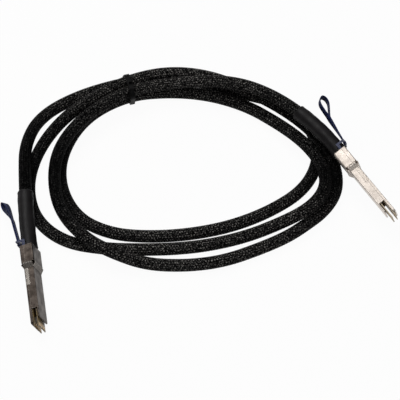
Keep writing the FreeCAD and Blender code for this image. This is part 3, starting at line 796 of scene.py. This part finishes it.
@dataclass
class HeatShrink:
    """A sleeve of adhesive-lined heat-shrink over a plug's neck and the end of the braid.

    Its lips flare a little where it was cut. sags are rings and waves are lobes that shrinking leaves in it: each
    has its height, how many lobes it has round the sleeve, the length over which it turns, and where it starts.
    """

    cable: Cable
    side: Side
    length: float = 0.0655
    bore: float = 0.0066
    wall: float = 0.0014
    step: float = 0.0008
    around: int = 40
    lead_rings: int = 12
    overlap: float = 0.0003
    shell_gap: float = 0.0006
    lip: float = 0.0003
    lip_lengths: Span = (0.0014, 0.0012)
    cut: float = 0.00035
    sags: tuple[Ripple, ...] = ((0.00012, 0, 0.0043, 1.0), (0.00008, 0, 0.0017, 0.0))
    waves: tuple[Ripple, ...] = ((0.00009, 3, 0.011, 0.0), (0.00005, 7, -0.006, 0.0))

    def build(self, finish: Material) -> Piece:
        """Makes the sleeve along the cable.

        Args:
            finish: Its material.

        Returns:
            The piece.
        """
        stop = self.length - self.cable.neck
        _, places, sides, ups = self.cable.stations(self.step, stop=stop, backward=self.side is Side.RIGHT)
        nose = POSES[self.side].axes()[0]
        lead = np.linspace(self.cable.neck - self.overlap, self.shell_gap, self.lead_rings)
        places = np.concatenate([places[0] + nose * lead[:, None], places])
        sides, ups = (np.concatenate([np.repeat(way[:1], len(lead), axis=0), way]) for way in (sides, ups))
        reach = distances_along(places)
        turn = np.linspace(0, 2 * math.pi, self.around, endpoint=False)
        lip = sum(np.exp(-((gone / length) ** 2)) * self.lip
                  for gone, length in zip((reach, reach[-1] - reach), self.lip_lengths))
        sag = sum(height * np.sin(reach / length + start) for height, _, length, start in self.sags)
        ripple = sum(height * np.sin(lobes * turn[None] + reach[:, None] / length + start)
                     for height, lobes, length, start in self.waves)
        outer = (self.bore + self.wall + lip + sag)[:, None] + ripple
        outer[0] -= self.cut
        outer[-1] -= self.cut
        out = sides[:, None] * np.cos(turn)[None, :, None] + ups[:, None] * np.sin(turn)[None, :, None]
        skin = places[:, None] + out * outer[:, :, None]
        hollow = places[::-1, None] + out[::-1] * self.bore
        rings = np.concatenate([skin, hollow])
        piece = new_piece(f"{self.side.value}_shrink_sleeve", rings.reshape(-1, 3),
                          grid_faces(len(rings), self.around, wrap_rows=True), finish)
        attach(piece, FIXED_BODY)
        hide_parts(f"{self.side.value}_heat_shrink")
        return piece


# ---- the pull straps ----
@dataclass
class PullStrap:
    """A length of webbing round the slide's bar, doubled and sewn, that opens into a finger loop.

    length is the whole strap's and loop its open part's. eye is the radius that the tape takes round the bar, and
    bar is where that is along the plug and above it. ply is how far each ply is from the middle between them, and
    loop_shape gives the loop's outline as shares of its length and half its width.
    """

    side: Side
    finishes: Finishes
    width: float = 0.008
    thickness: float = 0.0008
    length: float = 0.0575
    loop: float = 0.026
    loop_shape: tuple[Span, ...] = ((0.14, 0.24), (0.36, 0.60), (0.70, 1.0), (0.9, 0.72), (0.975, 0.34), (1.0, 0.0))
    line_points: int = 260
    eye: float = 0.0009
    eye_turn: Span = (310.0, 50.0)
    eye_points: int = 15
    run_points: int = 12
    eye_reach: float = 0.004
    neck_reach: float = 0.002
    bar: tuple[float, float] = (-0.0065, 0.010)
    corner: float = 0.00022
    crown: float = 1.05
    ply: float = 0.00045
    seam: float = 0.0028
    seam_start: float = 0.006
    seam_end: float = 0.0264
    stitch_length: float = 0.0017
    stitch_pitch: float = 0.0024
    stitch_gap: float = 0.0006
    stitch_bulge: Span = (0.12, 0.88)
    stitch_rings: int = 5
    stitch_corners: int = 6
    thread: float = 0.00022

    def centre_line(self) -> np.ndarray:
        """Draws the tape on edge.

        Returns:
            The closed line of its middle in the plane that it bends in, from its bar.
        """
        pose = POSES[self.side]
        neck = self.length - self.loop
        half = pose.loop_width / 2
        turn = -math.radians(pose.tab_bend)
        shape = [(0.0, self.ply), *((share, width * half) for share, width in self.loop_shape)]
        upper = [(neck + share * self.loop, aside) for share, aside in shape]
        lower = [(u, -v) for u, v in reversed(upper[:-1])]
        bent = [(neck + (u - neck) * math.cos(turn) - v * math.sin(turn),
                 (u - neck) * math.sin(turn) + v * math.cos(turn)) for u, v in upper + lower]
        ring = self.eye + self.thickness / 2
        first, last = (math.radians(a) for a in self.eye_turn)
        wrap = [(ring * math.cos(a), ring * math.sin(a)) for a in np.linspace(first, last, self.eye_points)]
        runs = [(u, self.ply) for u in np.linspace(self.eye_reach, neck - self.neck_reach, self.run_points)]
        back = [(u, -self.ply) for u, _ in reversed(runs)]
        return smooth_ring(np.array(wrap + runs + bent + back), self.line_points)

    def hang(self, u: float, flat: float, level: float, station: float) -> Point:
        """Takes a place on the flat strap to the plug's frame, with the strap's lean and twist.

        Args:
            u: How far from the bar.
            flat: How far across the tape.
            level: How far out of the tape's plane.
            station: How far from the bar the twist is read.

        Returns:
            The place in the plug's frame.
        """
        pose = POSES[self.side]
        share = min(max((station - pose.twist_start) / (pose.twist_end - pose.twist_start), 0.0), 1.0)
        twist = math.radians(pose.tab_twist) * share * share * (3 - 2 * share) * pose.tab_side
        lean = math.radians(180 + pose.tab_lean)
        across = flat * math.cos(twist) - level * math.sin(twist)
        rise = flat * math.sin(twist) + level * math.cos(twist)
        return (u * math.cos(lean) + rise * math.sin(lean) + self.bar[0], across,
                -u * math.sin(lean) + rise * math.cos(lean) + self.bar[1])

    def stitch(self) -> Piece:
        """Makes the lock stitches that close the eye round the bar: two rows along the tape, closed at both ends.

        Returns:
            The piece.
        """
        rows = [((u, edge), (u + self.stitch_length, edge)) for edge in (-self.seam, self.seam)
                for u in np.arange(self.seam_start, self.seam_end, self.stitch_pitch)]
        rows += [((u, flat), (u, flat + self.stitch_length)) for u in (self.seam_start, self.seam_end)
                 for flat in np.arange(-self.seam + self.stitch_gap, self.seam - self.stitch_length, self.stitch_pitch)]
        vertices, faces = [], []
        rings, around = self.stitch_rings, self.stitch_corners
        low, high = self.stitch_bulge
        out = self.ply + self.thickness / 2
        for ((u0, f0), (u1, f1)), face in product(rows, (-1, 1)):
            first = len(vertices)
            for share in np.linspace(0, 1, rings):
                crown = self.thread * math.sin(math.pi * (low + (high - low) * share))
                spot = np.array([u0 + (u1 - u0) * share, f0 + (f1 - f0) * share])
                aside = np.array([-(f1 - f0), u1 - u0]) / self.stitch_length
                for turn in np.linspace(0, 2 * math.pi, around, endpoint=False):
                    u, flat = spot + aside * crown * math.cos(turn)
                    vertices.append(self.hang(u, flat, face * (out + crown * math.sin(turn)), u))
            faces += tube_faces(rings, around, first)
        name = self.side.value
        places = POSES[self.side].place(np.array(vertices))
        piece = new_piece(f"{name}_strap_stitches", places, faces, self.finishes["sewing_thread"])
        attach(piece, f"{name}_latch")
        return piece

    def build(self) -> Piece:
        """Makes the tape.

        Returns:
            The piece.
        """
        line = self.centre_line()
        gone = distances_along(np.vstack([line, line[:1]]))
        way = np.roll(line, -1, axis=0) - np.roll(line, 1, axis=0)
        way /= np.linalg.norm(way, axis=1)[:, None]
        normal = np.stack([-way[:, 1], way[:, 0]], axis=1)
        w, t, c = self.width / 2, self.thickness / 2, self.corner
        half = [(-w + c, t), (0.0, t * self.crown), (w - c, t), (w, t - c), (w, -t + c)]
        section = half + [(-x, -y) for x, y in half]
        vertices, uv = [], []
        for (u, level), (nu, nw), distance in zip(line, normal, gone):
            for flat, depth in section:
                vertices.append(self.hang(u + nu * depth, flat, level + nw * depth, u))
                uv.append((distance, flat))
        name = self.side.value
        places = POSES[self.side].place(np.array(vertices))
        faces = grid_faces(len(line), len(section), wrap_rows=True)
        piece = new_piece(f"{name}_strap", places, faces, self.finishes["nylon_webbing"], np.array(uv))
        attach(piece, f"{name}_latch")
        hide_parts(f"{name}_pull_tab")
        return piece


def smooth_ring(knots: np.ndarray, count: int) -> np.ndarray:
    """Runs a smooth closed curve through some points.

    Args:
        knots: The points, in order.
        count: How many points to return.

    Returns:
        Points evenly spaced along the curve.
    """
    fine = []
    total = len(knots)
    t = np.linspace(0, 1, POINTS_PER_KNOT, endpoint=False)[:, None]
    bases = (2 * t**3 - 3 * t**2 + 1, t**3 - 2 * t**2 + t, -2 * t**3 + 3 * t**2, t**3 - t**2)
    for i in range(total):
        before, start, end, after = (knots[(i + k) % total] for k in (-1, 0, 1, 2))
        pairs = ((before, start), (start, end), (end, after))
        g0, g1, g2 = (np.linalg.norm(b - a) ** 0.5 for a, b in pairs)
        leave = ((start - before) / g0 - (end - before) / (g0 + g1) + (end - start) / g1) * g1
        reach = ((end - start) / g1 - (after - start) / (g1 + g2) + (after - end) / g2) * g1
        fine.append(sum(base * term for base, term in zip(bases, (start, leave, end, reach))))
    curve = np.concatenate(fine)
    curve = np.vstack([curve, curve[:1]])
    gone = distances_along(curve)
    spots = np.linspace(0, gone[-1], count, endpoint=False)
    return np.array([np.interp(spots, gone, curve[:, axis]) for axis in range(curve.shape[1])]).T


# ---- the plugs ----
@dataclass
class Plug:
    """A die-cast plug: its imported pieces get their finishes, and its cards their contacts."""

    side: Side
    finishes: Finishes
    card_heights: Span = (0.00215, -0.00195)
    card_thickness: float = 0.001
    card_end: float = 0.0895
    contact_length: float = 0.0038
    contact_width: float = 0.00045
    contact_pitch: float = 0.0008
    card_margin: float = 0.0006
    stagger: float = 0.0006
    contacts: int = 21
    plating: float = 0.00004

    def dress(self) -> None:
        """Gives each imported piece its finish."""
        name = self.side.value
        # each plug takes its own copy of a finish: the left plug's is painted shade, the right plug's painted light
        finishes = {
            "upper_shell": f"{name}_die_casting", "lower_shell": f"{name}_die_casting",
            "shell_screws": f"{name}_stamped_steel", "upper_paddle_card": f"{name}_card_laminate",
            "lower_paddle_card": f"{name}_card_laminate", "card_spacer": "spacer_resin", "twinax_pairs": "wire_foil",
            "crimp_ferrule": "brass_ferrule", "emi_gasket": f"{name}_collar", "latch_slide": f"{name}_stamped_steel",
        }
        for node, finish in finishes.items():
            wear(f"{name}_{node}", self.finishes[finish])

    def contact_rows(self) -> Piece:
        """Makes the gold contacts on both faces of both cards.

        Returns:
            The piece.
        """
        vertices, faces = [], []
        places = (np.arange(self.contacts) - (self.contacts - 1) / 2) * self.contact_pitch
        for height, way, (number, across) in product(self.card_heights, (1, -1), enumerate(places)):
            face = height + way * self.card_thickness / 2
            # every third contact mates later than its neighbours
            back = self.stagger if number % 3 == 1 else 0.0
            x1 = self.card_end - self.card_margin - back
            x0 = x1 - self.contact_length
            y0, y1 = across - self.contact_width / 2, across + self.contact_width / 2
            first = len(vertices)
            vertices += [(x, y, z) for z in (face - way * self.plating, face + way * self.plating)
                         for x, y in ((x0, y0), (x1, y0), (x1, y1), (x0, y1))]
            faces += [corners[::way] for corners in tube_faces(2, 4, first)]
        name = self.side.value
        piece = new_piece(f"{name}_card_contacts", POSES[self.side].place(np.array(vertices)), faces,
                          self.finishes["contact_gold"], smooth=False)
        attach(piece, FIXED_BODY)
        return piece


@dataclass
class ReturnSprings:
    """The two folded wire springs that push a plug's slide forward again, and fold up as it is pulled back.

    start and end are along the plug, inner and swing set how far out the folds reach, and low and high are the
    wire's edges.
    """

    side: Side
    start: float = 0.002
    end: float = 0.0171
    inner: float = 0.00815
    swing: float = 0.001
    wire: float = 0.0003
    low: float = 0.0012
    high: float = 0.0036
    folds: int = 7
    steps: int = 8
    travel: float = 0.0022

    def build(self, finish: Material) -> Piece:
        """Makes both springs as one piece.

        Args:
            finish: The springs' material.

        Returns:
            The piece.
        """
        vertices, faces = [], []
        count = self.folds * self.steps + 1
        for way in (-1, 1):
            first = len(vertices)
            for number in range(count):
                x = self.start + (self.end - self.start) * number / (count - 1)
                y = self.inner + self.swing * (1 - math.cos(math.pi * number / self.steps)) / 2
                vertices += [(x, way * across, z) for across, z in (
                    (y, self.low), (y + self.wire, self.low), (y + self.wire, self.high), (y, self.high))]
            faces += [face[::way] for face in tube_faces(count, 4, first)]
        pose, name = POSES[self.side], self.side.value
        piece = new_piece(f"{name}_return_springs", pose.place(np.array(vertices)), faces, finish, smooth=False)
        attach(piece, FIXED_BODY)
        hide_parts(f"{name}_latch_springs")
        tuple(pose.axes()[0])
        tuple(pose.place((self.start, 0.0, 0.0)))
        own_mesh(piece)
        return piece


# ---- the studio ----
@dataclass(frozen=True)
class Lamp:
    """A soft square lamp: where it hangs, its side, and its power in watts."""

    name: str
    place: Point
    size: float
    power: float


@dataclass(frozen=True)
class Studio:
    """A pale floor, soft light and the camera."""

    target: Point = (0.0, 0.03, 0.0)
    elevation: float = 57.0
    distance: float = 1.8
    lens: float = 157.2
    sensor: float = 36.0
    floor_size: float = 12.0
    floor_colour: str = "#e6e6e6"
    floor_glow: float = 0.955
    view_end: float = 50.0
    ambient: float = 0.22
    lamps: tuple[Lamp, ...] = (
        Lamp("key_lamp", place=(-0.8, 1.0, 2.1), size=1.3, power=32.0),
        Lamp("fill_lamp", place=(0.9, -0.7, 2.4), size=1.0, power=9.0),
    )

    def camera(self) -> None:
        """Makes the camera."""
        data = bpy.data.cameras.new("camera")
        data.lens = self.lens
        data.sensor_width = self.sensor
        data.clip_end = self.view_end
        camera = put_in_scene("camera", data)
        rise = math.radians(self.elevation)
        way = Vector((0.0, -math.cos(rise), math.sin(rise)))
        camera.location = Vector(self.target) + way * self.distance
        camera.rotation_euler = way.to_track_quat("Z", "Y").to_euler()
        bpy.context.scene.camera = camera

    def floor(self) -> None:
        """Makes the floor, pale to the camera and in glossy things, with the object's shadow on it."""
        material, tree, shader = new_material("painted_floor")
        feed(tree, shader, {"Base Color": linear(self.floor_colour), "Roughness": 0.9, "Specular IOR Level": 0.0})
        path = add_node(tree, "ShaderNodeLightPath").outputs
        seen = maths(tree, "MAXIMUM", path["Is Camera Ray"], path["Is Glossy Ray"])
        seen = maths(tree, "MAXIMUM", seen, path["Is Transmission Ray"])
        glow = add_node(tree, "ShaderNodeEmission", {"Color": linear("#ffffff"), "Strength": 1.0})
        share = maths(tree, "MULTIPLY", seen, self.floor_glow)
        mix = add_node(tree, "ShaderNodeMixShader", {0: share, 1: shader.outputs["BSDF"], 2: glow.outputs[0]})
        output = next(node for node in tree.nodes if node.type == "OUTPUT_MATERIAL")
        tree.links.new(mix.outputs[0], output.inputs["Surface"])
        half = self.floor_size / 2
        corners = np.array([(-half, -half, 0.0), (half, -half, 0.0), (half, half, 0.0), (-half, half, 0.0)])
        floor = new_piece("floor", corners, [(0, 1, 2, 3)], material, smooth=False)

    def hang(self, lamp: Lamp) -> None:
        """Hangs a lamp and aims it at the middle of the coil.

        Args:
            lamp: The lamp.
        """
        data = bpy.data.lights.new(lamp.name, "AREA")
        data.size = lamp.size
        data.energy = lamp.power
        hung = put_in_scene(lamp.name, data)
        hung.location = lamp.place
        hung.rotation_euler = (Vector(lamp.place) - Vector(self.target)).to_track_quat("Z", "Y").to_euler()

    def light(self) -> None:
        """Lights the scene softly and evenly."""
        world = bpy.data.worlds.new("studio")
        world.use_nodes = True
        back = world.node_tree.nodes["Background"]
        feed(world.node_tree, back, {"Color": linear("#ffffff"), "Strength": self.ambient})
        bpy.context.scene.world = world
        bpy.context.scene.view_settings.view_transform = "Standard"
        for lamp in self.lamps:
            self.hang(lamp)


def main() -> None:
    """Builds the whole visual model."""
    logging.basicConfig(level=logging.INFO, format="%(name)s: %(message)s")
    studio = Studio()
    studio.camera()
    finishes = make_finishes()
    cable = Cable(finishes)
    cable.build()
    wear("cable_tie", finishes["tie_nylon"])
    for side in Side:
        sleeve = HeatShrink(cable, side).build(finishes["heat_shrink"])
        strap = PullStrap(side, finishes)
        plug = Plug(side, finishes)
        plug.dress()
        springs = ReturnSprings(side).build(finishes[f"{side.value}_stamped_steel"])
        for piece in (sleeve, strap.build(), strap.stitch(), plug.contact_rows(), springs):
            log.info("%s: %d faces", piece.name, len(piece.data.polygons))
    studio.floor()
    studio.light()


if __name__ == "__main__":
    main()
